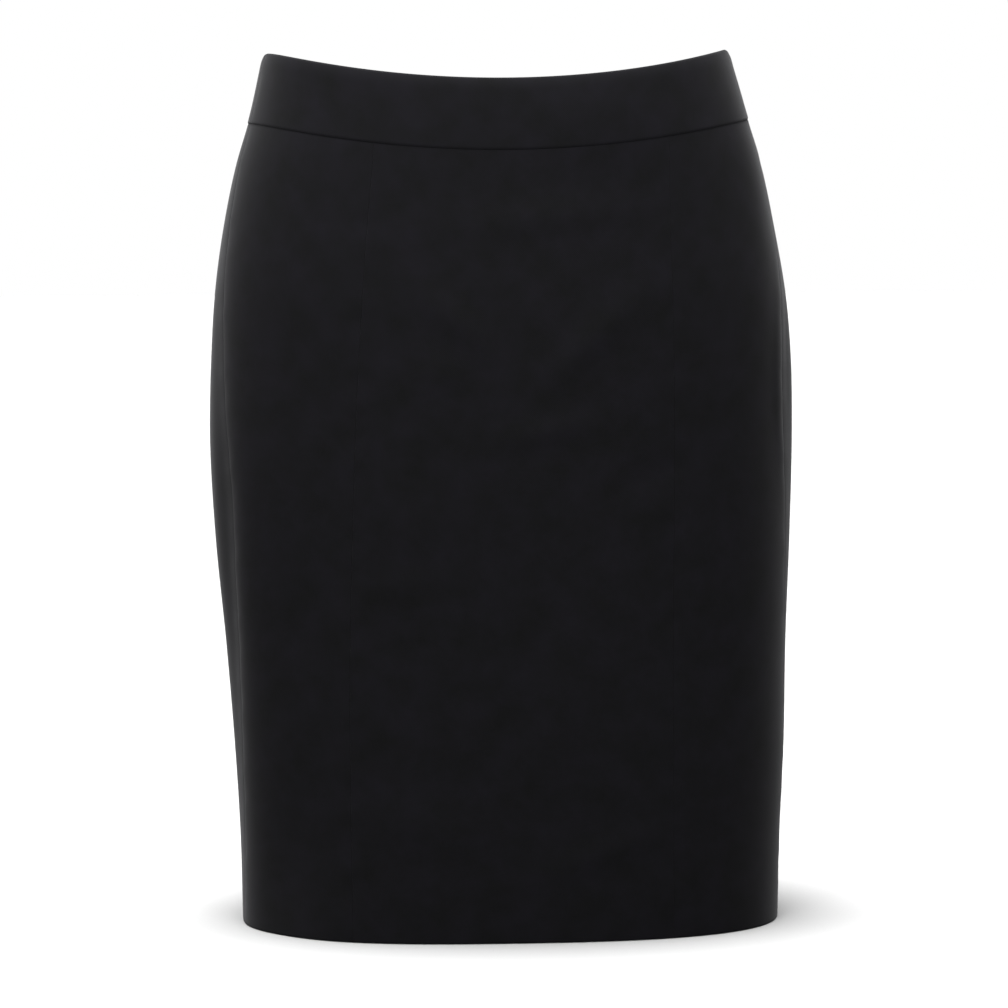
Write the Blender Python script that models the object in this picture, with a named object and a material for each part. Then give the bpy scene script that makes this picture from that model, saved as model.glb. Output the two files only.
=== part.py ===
"""A pencil skirt in its worn form, built from the pieces that are cut and sewn.

Metres, +Z up. The origin is the middle of the waist, halfway down the waistband, where the wearer's
waist holds the skirt. The front faces -Y, and left and right are the wearer's: +X is the left side.
Every cloth piece is a wall on one form, which is described by level sections below the waist.
"""
import math

import bmesh
import bpy
import numpy as np
from mathutils import Matrix, Vector

# Lengths down the skirt, in metres. A level is the distance below the top of the waistband at the sides.
WAISTBAND_HEIGHT = 0.043
SIDE_LENGTH = 0.541
TOP_DIP_FRONT = 0.0202
TOP_DIP_BACK = 0.0150
SEAM_DIP_FRONT = 0.0205
SEAM_DIP_BACK = 0.0152
WAIST_TILT = 0.0008

# Cloth
CLOTH_THICKNESS = 0.0015
WAISTBAND_THICKNESS = 0.0024
WAISTBAND_PROUD = 0.0005
HEM_TURN_UP = 0.030
HEM_THICKNESS = 0.0026
SEAM_GAP = 0.0003
PANEL_ROWS = 16
FACET_WIDTH = 0.0150
SETTLING_ROUNDS = 4
SHARP_EDGE = math.radians(40)

# Walking vent, at the lower end of the centre back seam
VENT_HEIGHT = 0.165
VENT_UNDERLAP = 0.038
VENT_SEAM_ALLOWANCE = 0.010
VENT_SLANT = 0.012
VENT_SHORTER_THAN_HEM = 0.003
VENT_CLEARANCE = 0.0005

# Invisible zip, behind the centre back seam
ZIP_LENGTH = 0.215
ZIP_TAPE_WIDTH = 0.026
ZIP_TAPE_THICKNESS = 0.0009
ZIP_TOP_INSET = 0.0035
SLIDER_DROP = 0.0095
SLIDER_WIDTH = 0.0052
SLIDER_LENGTH = 0.0090
SLIDER_PLATE = 0.0014
SLIDER_CORNER = 0.0018
SLIDER_CORNER_STEPS = 4
BRIDGE_WIDTH = 0.0016
BRIDGE_STRAP = 0.0009
BRIDGE_INNER_RADIUS = 0.0012
BRIDGE_STEPS = 10
PULL_LENGTH = 0.0240
PULL_WIDTH = 0.0074
PULL_NECK_WIDTH = 0.0048
PULL_THICKNESS = 0.0012
PULL_BAR = 0.0012
PULL_WINDOW_WIDTH = 0.0026
PULL_WINDOW_LENGTH = 0.0046
PULL_STEPS = 12

# The form. Each row is one level section: a rounded outline, half_width wide to each side of a middle
# that sits `sideways` from the origin, with its own depth and squareness (2 is an ellipse) front and back.
FORM_COLUMNS = (
    "level", "half_width", "front_depth", "back_depth", "front_squareness", "back_squareness", "sideways",
)
FORM_ROWS = (
    (0.000, 0.1444, 0.1000, 0.1080, 2.10, 2.10, -0.0004),
    (0.043, 0.1552, 0.1065, 0.1170, 2.12, 2.10, 0.0006),
    (0.068, 0.1627, 0.1095, 0.1218, 2.14, 2.12, 0.0006),
    (0.108, 0.1714, 0.1130, 0.1295, 2.17, 2.15, 0.0007),
    (0.149, 0.1777, 0.1155, 0.1360, 2.20, 2.20, 0.0012),
    (0.189, 0.1806, 0.1165, 0.1400, 2.22, 2.25, 0.0014),
    (0.239, 0.1817, 0.1168, 0.1410, 2.24, 2.28, 0.0012),
    (0.299, 0.1797, 0.1162, 0.1380, 2.30, 2.30, 0.0019),
    (0.369, 0.1751, 0.1152, 0.1320, 2.40, 2.32, 0.0036),
    (0.430, 0.1721, 0.1146, 0.1275, 2.50, 2.34, 0.0051),
    (0.490, 0.1691, 0.1142, 0.1240, 2.56, 2.35, 0.0052),
    (0.541, 0.1680, 0.1140, 0.1215, 2.60, 2.35, 0.0049),
)

# Where the seams run. The panel seams are given across the front, from the middle of the section; the
# side seams are given from front to back, from its widest points (forwards is negative).
SEAM_COLUMNS = ("level", "panel_seam_right", "panel_seam_left", "side_seam_right", "side_seam_left")
SEAM_ROWS = (
    (0.000, -0.0788, 0.0965, -0.014, -0.010),
    (0.060, -0.0803, 0.0972, -0.020, -0.016),
    (0.125, -0.0866, 0.0978, -0.030, -0.030),
    (0.206, -0.0924, 0.0984, -0.042, -0.046),
    (0.269, -0.0951, 0.0981, -0.050, -0.043),
    (0.344, -0.0990, 0.0956, -0.047, -0.038),
    (0.407, -0.1018, 0.0938, -0.042, -0.033),
    (0.501, -0.1018, 0.0932, -0.030, -0.024),
    (0.541, -0.1010, 0.0936, -0.022, -0.017),
)

BACK_MIDDLE = math.pi / 2
WAIST_TOP_HEIGHT = WAISTBAND_HEIGHT / 2

# Colours are linear RGB.
CLOTH_COLOUR = (0.0125, 0.0125, 0.0145)
TAPE_COLOUR = (0.0080, 0.0080, 0.0090)
ZIP_METAL_COLOUR = (0.0200, 0.0200, 0.0220)


def remove_everything():
    for thing in list(bpy.data.objects):
        bpy.data.objects.remove(thing, do_unlink=True)


def make_material(name, colour, roughness, metallic=0.0):
    material = bpy.data.materials.new(name)
    material.use_nodes = True
    shader = material.node_tree.nodes["Principled BSDF"]
    shader.inputs["Base Color"].default_value = (*colour, 1.0)
    shader.inputs["Roughness"].default_value = roughness
    shader.inputs["Metallic"].default_value = metallic
    return material


def smooth_row(columns, rows, level):
    """One row of a table at any level, on a smooth curve through the rows given."""
    table = np.array(rows)
    levels = table[:, 0]
    slopes = np.gradient(table, levels, axis=0)
    level = min(max(level, levels[0]), levels[-1])
    upper = min(int(np.searchsorted(levels, level, side="right")) - 1, len(levels) - 2)
    step = levels[upper + 1] - levels[upper]
    share = (level - levels[upper]) / step
    values = (
        (1 + 2 * share) * (1 - share) ** 2 * table[upper]
        + share * (1 - share) ** 2 * step * slopes[upper]
        + share ** 2 * (3 - 2 * share) * table[upper + 1]
        + share ** 2 * (share - 1) * step * slopes[upper + 1]
    )
    return dict(zip(columns, values))


def form_point(level, angle, inset=0.0):
    """The point of the form at a level and an angle about its middle, moved inwards by inset.

    The angle is 0 at the wearer's left, a quarter turn at the middle of the back and minus a quarter
    turn at the middle of the front.
    """
    form = smooth_row(FORM_COLUMNS, FORM_ROWS, level)
    face = "front" if math.sin(angle) < 0 else "back"
    half_width, depth, power = form["half_width"], form[face + "_depth"], form[face + "_squareness"]
    across, along = abs(math.cos(angle)) / half_width, abs(math.sin(angle)) / depth
    radius = (across ** power + along ** power) ** (-1 / power)
    steep_x = math.copysign(across ** (power - 1) / half_width, math.cos(angle))
    steep_y = math.copysign(along ** (power - 1) / depth, math.sin(angle))
    inwards = inset / math.hypot(steep_x, steep_y)
    return Vector((
        form["sideways"] + radius * math.cos(angle) - inwards * steep_x,
        radius * math.sin(angle) - inwards * steep_y,
        WAIST_TOP_HEIGHT - level,
    ))


def waist_line(level, front_dip, back_dip, angle):
    """Level of a line round the waist that dips to the middle of the front and back, and to the right."""
    form = smooth_row(FORM_COLUMNS, FORM_ROWS, level)
    sideways_share = (form_point(level, angle).x - form["sideways"]) / form["half_width"]
    dip = front_dip if math.sin(angle) < 0 else back_dip
    return level + dip * (1 - sideways_share ** 2) + WAIST_TILT * (1 - sideways_share)


def waist_edge(angle):
    return waist_line(0.0, TOP_DIP_FRONT, TOP_DIP_BACK, angle)


def waist_seam(angle):
    return waist_line(WAISTBAND_HEIGHT, SEAM_DIP_FRONT, SEAM_DIP_BACK, angle)


def hem_edge(angle):
    return SIDE_LENGTH


def panel_seam(side):
    """Angle of a panel seam of the front at a level; side is "left" or "right"."""
    def angle_at(level):
        form = smooth_row(FORM_COLUMNS, FORM_ROWS, level)
        x = smooth_row(SEAM_COLUMNS, SEAM_ROWS, level)["panel_seam_" + side]
        power = form["front_squareness"]
        y = -form["front_depth"] * (1 - (abs(x) / form["half_width"]) ** power) ** (1 / power)
        return math.atan2(y, x) % (2 * math.pi) - 2 * math.pi
    return angle_at


def side_seam(side):
    """Angle of a side seam at a level: just below 0 (left), or just over minus half a turn (right)."""
    def angle_at(level):
        form = smooth_row(FORM_COLUMNS, FORM_ROWS, level)
        y = smooth_row(SEAM_COLUMNS, SEAM_ROWS, level)["side_seam_" + side]
        power = form["front_squareness"]
        x = form["half_width"] * (1 - (abs(y) / form["front_depth"]) ** power) ** (1 / power)
        return math.atan2(y, x) if side == "left" else -math.pi - math.atan2(y, x)
    return angle_at


def back_seam(offset=0.0):
    """Angle of a line that runs beside the centre back seam, offset metres towards the left side."""
    def angle_at(level):
        depth = smooth_row(FORM_COLUMNS, FORM_ROWS, level)["back_depth"]
        return BACK_MIDDLE - offset / depth
    return angle_at


def one_turn_on(line):
    return lambda level: line(level) + 2 * math.pi


def row_levels(upper, lower, rows, hem):
    """Levels of a piece's rows at one angle. A hemmed piece has two rows more, at its turned-up hem."""
    if not hem:
        return [upper + (lower - upper) * row / rows for row in range(rows + 1)]
    hem_top = lower - HEM_TURN_UP
    body = [upper + (hem_top - upper) * row / rows for row in range(rows + 1)]
    return body + [hem_top + HEM_THICKNESS - CLOTH_THICKNESS, lower]


def cloth_wall(name, material, first, last, upper, lower, rows, outset=0.0,
               thickness=CLOTH_THICKNESS, hem=False, sewn_first=True, sewn_last=True):
    """A curved wall of cloth between two lines down the form and two edges round it.

    first and last give an angle at a level, upper and lower a level at an angle. The wall starts as a
    flat unit grid, is thickened, and each of its points is carried to its place on the form. A point's
    angle and level depend on each other, so they settle in a few rounds.
    """
    near_angle = first(SIDE_LENGTH / 2)
    middle_level = (upper(near_angle) + lower(near_angle)) / 2
    turn = last(middle_level) - first(middle_level)
    middle = form_point(middle_level, first(middle_level) + turn / 2)
    span = (form_point(middle_level, first(middle_level)) - middle).length
    span += (form_point(middle_level, last(middle_level)) - middle).length
    columns = max(2, math.ceil(span / FACET_WIDTH))
    row_count = rows + (2 if hem else 0)

    mesh_maker = bmesh.new()
    bmesh.ops.create_grid(mesh_maker, x_segments=columns, y_segments=row_count, size=0.5)
    outer_points = set(mesh_maker.verts)
    bmesh.ops.extrude_face_region(mesh_maker, geom=list(mesh_maker.faces), use_keep_orig=True)
    for point in mesh_maker.verts:
        across = point.co.x + 0.5
        row = round((0.5 - point.co.y) * row_count)
        level = middle_level
        for _ in range(SETTLING_ROUNDS):
            angle = first(level) + (last(level) - first(level)) * across
            radius = form_point(level, angle).xy.length
            if across == 0 and sewn_first:
                angle += SEAM_GAP / 2 / radius
            if across == 1 and sewn_last:
                angle -= SEAM_GAP / 2 / radius
            level = row_levels(upper(angle), lower(angle), rows, hem)[row]
        inset = -outset
        if point not in outer_points:
            inset += HEM_THICKNESS if hem and row > rows else thickness
        point.co = form_point(level, angle, inset)
    bmesh.ops.recalc_face_normals(mesh_maker, faces=mesh_maker.faces)
    return finish_mesh(name, mesh_maker, material)


def finish_mesh(name, mesh_maker, material):
    mesh = bpy.data.meshes.new(name)
    mesh_maker.to_mesh(mesh)
    mesh_maker.free()
    mesh.materials.append(material)
    mesh.shade_smooth()
    mesh.set_sharp_from_angle(angle=SHARP_EDGE)
    piece = bpy.data.objects.new(name, mesh)
    bpy.context.scene.collection.objects.link(piece)
    return piece


def below(edge, distance):
    return lambda angle: edge(angle) + distance


def make_waistband(cloth):
    seam = below(waist_seam, -SEAM_GAP / 2)
    size = dict(upper=waist_edge, lower=seam, rows=3, outset=WAISTBAND_PROUD, thickness=WAISTBAND_THICKNESS)
    cloth_wall("waistband_front", cloth, side_seam("right"), side_seam("left"), **size)
    cloth_wall("waistband_back_left", cloth, side_seam("left"), back_seam(), **size)
    cloth_wall("waistband_back_right", cloth, back_seam(), one_turn_on(side_seam("right")), **size)


def make_panels(cloth):
    size = dict(upper=below(waist_seam, SEAM_GAP / 2), lower=hem_edge, rows=PANEL_ROWS, hem=True)
    cloth_wall("front_centre", cloth, panel_seam("right"), panel_seam("left"), **size)
    cloth_wall("front_side_left", cloth, panel_seam("left"), side_seam("left"), **size)
    cloth_wall("front_side_right", cloth, side_seam("right"), panel_seam("right"), **size)
    cloth_wall("back_left", cloth, side_seam("left"), back_seam(), **size)
    cloth_wall("back_right", cloth, back_seam(), one_turn_on(side_seam("right")), **size)


def make_vent(cloth):
    """The under layer of the vent. Its top edge slants down, away from the centre back seam."""
    def upper(angle):
        across = (BACK_MIDDLE - angle) * smooth_row(FORM_COLUMNS, FORM_ROWS, SIDE_LENGTH)["back_depth"]
        return SIDE_LENGTH - VENT_HEIGHT + VENT_SLANT * across / VENT_UNDERLAP

    cloth_wall(
        "vent_underlap", cloth, back_seam(VENT_UNDERLAP), back_seam(-VENT_SEAM_ALLOWANCE),
        upper=upper, lower=below(hem_edge, -VENT_SHORTER_THAN_HEM), rows=6,
        outset=-(HEM_THICKNESS + VENT_CLEARANCE), sewn_first=False, sewn_last=False,
    )


def make_zip_tape(tape):
    behind_waistband = WAISTBAND_THICKNESS - WAISTBAND_PROUD + SEAM_GAP
    cloth_wall(
        "zip_tape", tape, back_seam(ZIP_TAPE_WIDTH / 2), back_seam(-ZIP_TAPE_WIDTH / 2),
        upper=below(waist_edge, ZIP_TOP_INSET), lower=below(waist_edge, ZIP_TOP_INSET + ZIP_LENGTH), rows=8,
        outset=-behind_waistband, thickness=ZIP_TAPE_THICKNESS, sewn_first=False, sewn_last=False,
    )


def box_part(size, centre):
    mesh_maker = bmesh.new()
    bmesh.ops.create_cube(mesh_maker, size=1.0)
    bmesh.ops.scale(mesh_maker, vec=size, verts=mesh_maker.verts)
    bmesh.ops.translate(mesh_maker, vec=centre, verts=mesh_maker.verts)
    return mesh_maker


def combine(piece, other, operation):
    cut = piece.modifiers.new(operation.lower(), "BOOLEAN")
    cut.operation = operation
    cut.object = other
    other.hide_render = True
    other.display_type = "WIRE"


def zip_frame():
    """Place of the pull's pivot: X across, Y out of the cloth, Z up along the centre back seam."""
    level = waist_edge(BACK_MIDDLE) + SLIDER_DROP
    above = form_point(level - SLIDER_DROP / 2, BACK_MIDDLE, -WAISTBAND_PROUD)
    under = form_point(level + SLIDER_DROP / 2, BACK_MIDDLE, -WAISTBAND_PROUD)
    lean = math.atan2(under.y - above.y, above.z - under.z)
    stand_off = SEAM_GAP + SLIDER_PLATE + BRIDGE_INNER_RADIUS
    pivot = form_point(level, BACK_MIDDLE, -WAISTBAND_PROUD)
    pivot += Vector((0, math.cos(lean), math.sin(lean))) * stand_off
    return pivot, lean


def make_zip_slider(metal):
    """A plate over the seam with an arched bridge on it, which carries the pull."""
    plate_middle = -(BRIDGE_INNER_RADIUS + SLIDER_PLATE / 2)
    plate = box_part((SLIDER_WIDTH, SLIDER_PLATE, SLIDER_LENGTH), (0, plate_middle, 0))
    through = [abs(edge.verts[0].co.y - edge.verts[1].co.y) for edge in plate.edges]
    corners = [edge for edge, depth in zip(plate.edges, through) if depth > SLIDER_PLATE / 2]
    bmesh.ops.bevel(
        plate, geom=corners, offset=SLIDER_CORNER, segments=SLIDER_CORNER_STEPS,
        profile=0.5, affect="EDGES", material=-1,
    )
    slider = finish_mesh("zip_slider", plate, metal)

    outer_radius = BRIDGE_INNER_RADIUS + BRIDGE_STRAP
    foot = -BRIDGE_INNER_RADIUS - SLIDER_PLATE / 2
    steps = [math.pi * step / BRIDGE_STEPS for step in range(BRIDGE_STEPS + 1)]
    rim = [(outer_radius * math.sin(turn), outer_radius * math.cos(turn)) for turn in steps]
    hole = [(BRIDGE_INNER_RADIUS * math.sin(turn), BRIDGE_INNER_RADIUS * math.cos(turn)) for turn in steps]
    profile = [(foot, outer_radius)] + rim + [(foot, -outer_radius), (foot, -BRIDGE_INNER_RADIUS)]
    profile += hole[::-1] + [(foot, BRIDGE_INNER_RADIUS)]
    arch = bmesh.new()
    side = arch.faces.new([arch.verts.new((-BRIDGE_WIDTH / 2, y, z)) for y, z in profile])
    far_side = bmesh.ops.extrude_face_region(arch, geom=[side], use_keep_orig=True)
    moved = [item for item in far_side["geom"] if isinstance(item, bmesh.types.BMVert)]
    bmesh.ops.translate(arch, vec=(BRIDGE_WIDTH, 0, 0), verts=moved)
    bmesh.ops.recalc_face_normals(arch, faces=arch.faces)
    bridge = finish_mesh("bridge_tool", arch, metal)
    combine(slider, bridge, "UNION")

    pivot, lean = zip_frame()
    for part in (slider, bridge):
        part.matrix_world = Matrix.Translation(pivot) @ Matrix.Rotation(lean, 4, "X")


def make_zip_pull(metal):
    """A flat drop that hangs from a bar under the bridge. The bridge stands in the window below the bar."""
    outline = []
    top = PULL_BAR / 2
    belly = PULL_LENGTH - PULL_WIDTH / 2
    for step in range(PULL_STEPS + 1):
        turn = math.pi * step / PULL_STEPS
        outline.append((PULL_WIDTH / 2 * math.cos(turn), -belly - PULL_WIDTH / 2 * math.sin(turn)))
    outline += [(-PULL_NECK_WIDTH / 2, -PULL_WINDOW_LENGTH - PULL_BAR), (-PULL_NECK_WIDTH / 2, top)]
    outline += [(PULL_NECK_WIDTH / 2, top), (PULL_NECK_WIDTH / 2, -PULL_WINDOW_LENGTH - PULL_BAR)]
    drop = bmesh.new()
    back = drop.faces.new([drop.verts.new((x, -PULL_THICKNESS / 2, z)) for x, z in outline])
    front = bmesh.ops.extrude_face_region(drop, geom=[back], use_keep_orig=True)
    moved = [item for item in front["geom"] if isinstance(item, bmesh.types.BMVert)]
    bmesh.ops.translate(drop, vec=(0, PULL_THICKNESS, 0), verts=moved)
    bmesh.ops.recalc_face_normals(drop, faces=drop.faces)
    pull = finish_mesh("zip_pull", drop, metal)

    window_size = (PULL_WINDOW_WIDTH, 3 * PULL_THICKNESS, PULL_WINDOW_LENGTH)
    window_tool = box_part(window_size, (0, 0, -PULL_BAR / 2 - PULL_WINDOW_LENGTH / 2))
    window = finish_mesh("window_tool", window_tool, metal)
    combine(pull, window, "DIFFERENCE")

    pivot, lean = zip_frame()
    stand_off = BRIDGE_INNER_RADIUS + SLIDER_PLATE - PULL_THICKNESS / 2
    rest = lean - math.asin(stand_off / PULL_LENGTH)
    for part in (pull, window):
        part.matrix_world = Matrix.Translation(pivot) @ Matrix.Rotation(rest, 4, "X")


remove_everything()
suiting = make_material("black_suiting", CLOTH_COLOUR, roughness=0.85)
zip_cloth = make_material("zip_tape_black", TAPE_COLOUR, roughness=0.80)
zip_metal = make_material("zip_metal_black", ZIP_METAL_COLOUR, roughness=0.35, metallic=0.6)
make_waistband(suiting)
make_panels(suiting)
make_vent(suiting)
make_zip_tape(zip_cloth)
make_zip_slider(zip_metal)
make_zip_pull(zip_metal)
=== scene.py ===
"""The looks of a black pencil skirt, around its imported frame. Metres, +Z up, and the front faces -Y.

Left and right are the wearer's: +X is the left side. A level is the distance below the top of the
waistband at the sides. An angle goes round the middle: 0 at the left side, a quarter turn at the middle
of the back, and minus a quarter turn at the middle of the front. A depth is measured into the skirt
from the outer face of its cloth.
"""

import math

import bmesh
import bpy
import numpy as np
from mathutils import Matrix, Vector


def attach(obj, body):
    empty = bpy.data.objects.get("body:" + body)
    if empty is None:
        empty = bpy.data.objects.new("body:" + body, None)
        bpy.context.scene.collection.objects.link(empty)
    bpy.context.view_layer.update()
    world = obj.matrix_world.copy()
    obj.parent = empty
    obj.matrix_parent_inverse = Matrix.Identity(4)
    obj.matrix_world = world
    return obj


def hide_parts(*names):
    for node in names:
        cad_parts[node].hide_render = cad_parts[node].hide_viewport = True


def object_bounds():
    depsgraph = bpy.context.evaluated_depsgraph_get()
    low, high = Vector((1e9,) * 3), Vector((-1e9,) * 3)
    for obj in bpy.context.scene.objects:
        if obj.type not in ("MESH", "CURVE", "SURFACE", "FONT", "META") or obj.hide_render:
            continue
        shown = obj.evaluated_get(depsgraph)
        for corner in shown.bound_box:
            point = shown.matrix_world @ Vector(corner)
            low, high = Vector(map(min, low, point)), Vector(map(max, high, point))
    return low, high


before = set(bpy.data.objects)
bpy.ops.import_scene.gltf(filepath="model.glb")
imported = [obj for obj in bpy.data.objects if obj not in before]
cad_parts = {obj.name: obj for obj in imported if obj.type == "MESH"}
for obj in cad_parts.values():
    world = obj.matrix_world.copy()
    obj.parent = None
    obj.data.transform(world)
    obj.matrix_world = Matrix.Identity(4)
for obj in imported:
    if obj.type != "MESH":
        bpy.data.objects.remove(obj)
cad_low, cad_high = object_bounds()


# --- Front panels ---
# A centre panel and two side panels of black suiting, each cut in one with its seam allowances and
# its hem. The seams are sewn right sides together and pressed open, and the hem is turned up inside.

WAISTBAND_HEIGHT = 0.043
SIDE_LENGTH = 0.541
TOP_DIP_FRONT = 0.0202
TOP_DIP_BACK = 0.0150
SEAM_DIP_FRONT = 0.0205
SEAM_DIP_BACK = 0.0152
WAIST_TILT = 0.0008

# The worn form: level sections, each a rounded outline with its own depth and squareness front and back.
FORM_COLUMNS = (
    "level", "half_width", "front_depth", "back_depth", "front_squareness", "back_squareness", "sideways",
)
FORM_ROWS = (
    (0.000, 0.1444, 0.1000, 0.1080, 2.10, 2.10, -0.0004),
    (0.043, 0.1552, 0.1065, 0.1170, 2.12, 2.10, 0.0006),
    (0.068, 0.1627, 0.1095, 0.1218, 2.14, 2.12, 0.0006),
    (0.108, 0.1714, 0.1130, 0.1295, 2.17, 2.15, 0.0007),
    (0.149, 0.1777, 0.1155, 0.1360, 2.20, 2.20, 0.0012),
    (0.189, 0.1806, 0.1165, 0.1400, 2.22, 2.25, 0.0014),
    (0.239, 0.1817, 0.1168, 0.1410, 2.24, 2.28, 0.0012),
    (0.299, 0.1797, 0.1162, 0.1380, 2.30, 2.30, 0.0019),
    (0.369, 0.1751, 0.1152, 0.1320, 2.40, 2.32, 0.0036),
    (0.430, 0.1721, 0.1146, 0.1275, 2.50, 2.34, 0.0051),
    (0.490, 0.1691, 0.1142, 0.1240, 2.56, 2.35, 0.0052),
    (0.541, 0.1680, 0.1140, 0.1215, 2.60, 2.35, 0.0049),
)

# Panel seams are given across the front, and side seams from the widest points (forwards is negative).
SEAM_COLUMNS = ("level", "panel_seam_right", "panel_seam_left", "side_seam_right", "side_seam_left")
SEAM_ROWS = (
    (0.000, -0.0788, 0.0965, -0.014, -0.010),
    (0.060, -0.0803, 0.0972, -0.020, -0.016),
    (0.125, -0.0866, 0.0978, -0.030, -0.030),
    (0.206, -0.0924, 0.0984, -0.042, -0.046),
    (0.269, -0.0951, 0.0981, -0.050, -0.043),
    (0.344, -0.0990, 0.0956, -0.047, -0.038),
    (0.407, -0.1018, 0.0938, -0.042, -0.033),
    (0.501, -0.1018, 0.0932, -0.030, -0.024),
    (0.541, -0.1010, 0.0936, -0.022, -0.017),
)

# Soft folds in the worn cloth, ridges or (with a negative height) troughs. x is across, from the
# middle, slope is the rise of the fold's line towards +X, in degrees, and length and width are its reach.
FOLD_COLUMNS = ("x", "level", "length", "width", "slope", "height")
FRONT_FOLDS = (
    (0.028, 0.104, 0.050, 0.011, 6, 0.0010),
    (-0.033, 0.166, 0.024, 0.009, -42, 0.0012),
    (0.051, 0.177, 0.036, 0.011, 42, 0.0014),
    (0.0245, 0.232, 0.028, 0.008, 11, 0.0009),
    (-0.040, 0.196, 0.016, 0.010, 15, 0.0005),
    (0.083, 0.260, 0.022, 0.010, 22, -0.0007),
    (-0.064, 0.284, 0.030, 0.022, -20, 0.0006),
    (-0.066, 0.324, 0.024, 0.009, 8, 0.0005),
    (0.033, 0.395, 0.045, 0.014, 84, 0.0008),
    (-0.052, 0.470, 0.030, 0.014, -12, 0.0007),
    (0.053, 0.488, 0.036, 0.009, 20, 0.0007),
    (0.030, 0.030, 0.150, 0.045, 0, 0.0023),
    (0.048, 0.048, 0.034, 0.028, 0, 0.0013),
)
BACK_FOLDS = (
    (-0.045, 0.104, 0.034, 0.008, 8, -0.0009),
    (0.052, 0.112, 0.028, 0.009, -12, -0.0007),
    (-0.060, 0.128, 0.036, 0.010, 14, 0.0008),
    (0.074, 0.182, 0.026, 0.012, 84, 0.0007),
    (-0.076, 0.190, 0.030, 0.011, -82, 0.0006),
    (0.070, 0.236, 0.050, 0.014, 38, 0.0008),
    (-0.078, 0.262, 0.058, 0.013, -42, -0.0008),
    (0.042, 0.330, 0.055, 0.016, 60, -0.0008),
    (-0.036, 0.360, 0.048, 0.014, -64, 0.0007),
    (-0.085, 0.440, 0.040, 0.020, 80, 0.0008),
)

# Long upright folds beside the side seams. behind_seam is measured round towards the back.
SIDE_FOLD_COLUMNS = ("behind_seam", "level", "length", "width", "height")
SIDE_FOLDS = {
    "right": (
        (0.008, 0.305, 0.140, 0.014, -0.0024),
        (-0.020, 0.320, 0.130, 0.032, 0.0022),
        (-0.020, 0.015, 0.060, 0.030, -0.0008),
        (-0.054, 0.525, 0.080, 0.034, -0.0032),
    ),
    "left": (
        (-0.007, 0.205, 0.050, 0.006, 0.0009),
        (0.012, 0.180, 0.040, 0.006, -0.0006),
        (0.010, 0.310, 0.100, 0.012, -0.0004),
        (-0.046, 0.300, 0.120, 0.042, 0.0026),
        (0.030, 0.190, 0.070, 0.013, 0.0007),
        (-0.030, 0.078, 0.065, 0.024, 0.0020),
        (-0.020, 0.015, 0.060, 0.030, -0.0008),
    ),
}

# Pressed seams lie in a slight trough, and pucker a little, in waves that start apart on each seam. The
# front panel seams lie flat under the waistband and begin to show between two levels.
TROUGH_DEPTH = 0.00014
TROUGH_REACH = 0.0013
SEAM_SHOWS_FROM = (0.060, 0.105)
PUCKER_REACH = 0.006
PUCKER_SHIFT = 2.1
PUCKER_COLUMNS = ("wave_length", "start", "height")
PUCKER_WAVES = ((0.019, 0.3, 0.00006), (0.031, 1.7, 0.00010), (0.0117, 4.1, 0.00004))

CLOTH_THICKNESS = 0.0006
CLOTH_STEP = 0.003
ROLL_DEPTH = 0.00062
ROLL_WIDTH = 0.00018
ROLL_STEPS = 8
SEAM_ALLOWANCE = 0.012
OVERLOCK = 0.004
OVERLOCK_BORDER = 0.0003
HEM_ROLL = 0.0009
HEM_TURN_UP = 0.030
WAIST_TUCK_DEPTH = 0.00016
WAIST_TUCK_EDGE = (-0.0003, 0.0016)
WAIST_TUCK_DROPS = (-0.006, -0.003, -0.0005, 0.0, 0.0003, 0.0006, 0.0009, 0.0012, 0.0016)
FACE_BLEND = 0.2
SETTLING_ROUNDS = 4


def read_table(columns, rows, level):
    """Every column of a table at these levels, each on a smooth curve through its rows."""
    table = np.array(rows)
    levels = table[:, 0]
    slopes = np.gradient(table, levels, axis=0)
    level = np.clip(level, levels[0], levels[-1])
    upper = np.clip(np.searchsorted(levels, level, side="right") - 1, 0, len(levels) - 2)
    step = (levels[upper + 1] - levels[upper])[..., None]
    share = (level - levels[upper])[..., None] / step
    values = (
        (1 + 2 * share) * (1 - share) ** 2 * table[upper]
        + share * (1 - share) ** 2 * step * slopes[upper]
        + share ** 2 * (3 - 2 * share) * table[upper + 1]
        + share ** 2 * (share - 1) * step * slopes[upper + 1]
    )
    return {name: values[..., place] for place, name in enumerate(columns)}


def form_at(level):
    """The form's level section, here."""
    return read_table(FORM_COLUMNS, FORM_ROWS, level)


def form_points(level, angle, depth):
    """Points on the form, moved in by depth."""
    level, angle, depth = np.broadcast_arrays(level, angle, depth)
    form = form_at(level)
    front = np.sin(angle) < 0
    reach = np.where(front, form["front_depth"], form["back_depth"])
    power = np.where(front, form["front_squareness"], form["back_squareness"])
    across = np.abs(np.cos(angle)) / form["half_width"]
    along = np.abs(np.sin(angle)) / reach
    radius = (across ** power + along ** power) ** (-1 / power)
    steep_x = np.copysign(across ** (power - 1) / form["half_width"], np.cos(angle))
    steep_y = np.copysign(along ** (power - 1) / reach, np.sin(angle))
    inwards = depth / np.hypot(steep_x, steep_y)
    return np.stack((
        form["sideways"] + radius * np.cos(angle) - inwards * steep_x,
        radius * np.sin(angle) - inwards * steep_y,
        WAISTBAND_HEIGHT / 2 - level,
    ), axis=-1)


def metres_round(level, angle):
    """Metres that the form runs round for each radian, here."""
    step = 0.001
    run = form_points(level, angle + step, 0.0) - form_points(level, angle - step, 0.0)
    return np.linalg.norm(run[..., :2], axis=-1) / (2 * step)


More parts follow.
